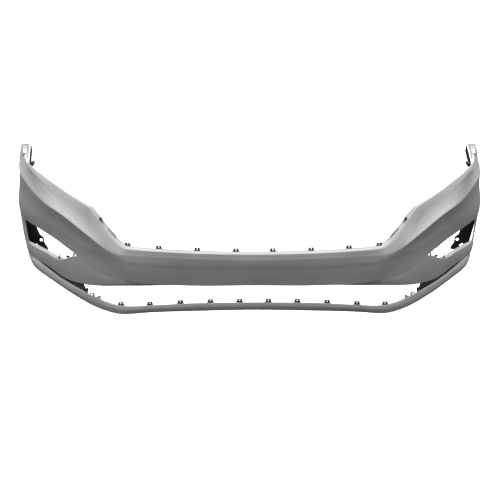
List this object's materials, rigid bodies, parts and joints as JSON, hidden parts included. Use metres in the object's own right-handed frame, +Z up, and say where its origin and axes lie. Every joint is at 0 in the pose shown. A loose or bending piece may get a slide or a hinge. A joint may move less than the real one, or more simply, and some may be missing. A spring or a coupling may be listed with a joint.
{
  "type": "front bumper cover",
  "caption": "Wrap-round front bumper cover for a compact saloon in grey primed plastic, with a wide lower grille opening, fog lamp openings, a parted lower bar, flanges and clips.",
  "frame": {"origin": "midway between the screw holes of the two middle upper lugs, on the cover's middle plane", "axes": "+X to the right of someone who faces the cover's outer face, +Y from the nose back to the wheel arches, +Z up"},
  "size_m": [1.77, 0.7071, 0.4569],
  "materials": {
    "primed_pp": "sprayed grey primer, satin",
    "primed_flange": "light grey primer, satin",
    "black_pp": "moulded, fine grain",
    "black_acetal": "moulded, smooth",
    "spring_steel": "black phosphate",
    "rivet_alloy": "drawn, satin"
  },
  "bodies": {
    "root": {"cover_skin": "primed_pp", "lower_bar": "primed_pp", "slot_panel_left": "black_pp", "slot_panel_right": "black_pp", "arch_flange_left": "black_pp", "arch_flange_right": "black_pp", "fender_flange_left": "primed_flange", "fender_flange_right": "primed_flange", "inner_strip_left": "black_pp", "inner_strip_right": "black_pp", "locating_block_left": "black_acetal", "locating_block_right": "black_acetal", "upper_clips": "spring_steel", "headlamp_clips": "spring_steel", "lower_clips": "spring_steel", "fog_clips_left": "black_acetal", "fog_clips_right": "black_acetal", "slot_hooks_left": "black_acetal", "slot_hooks_right": "black_acetal", "flange_rivets": "rivet_alloy"}
  },
  "joints": []
}
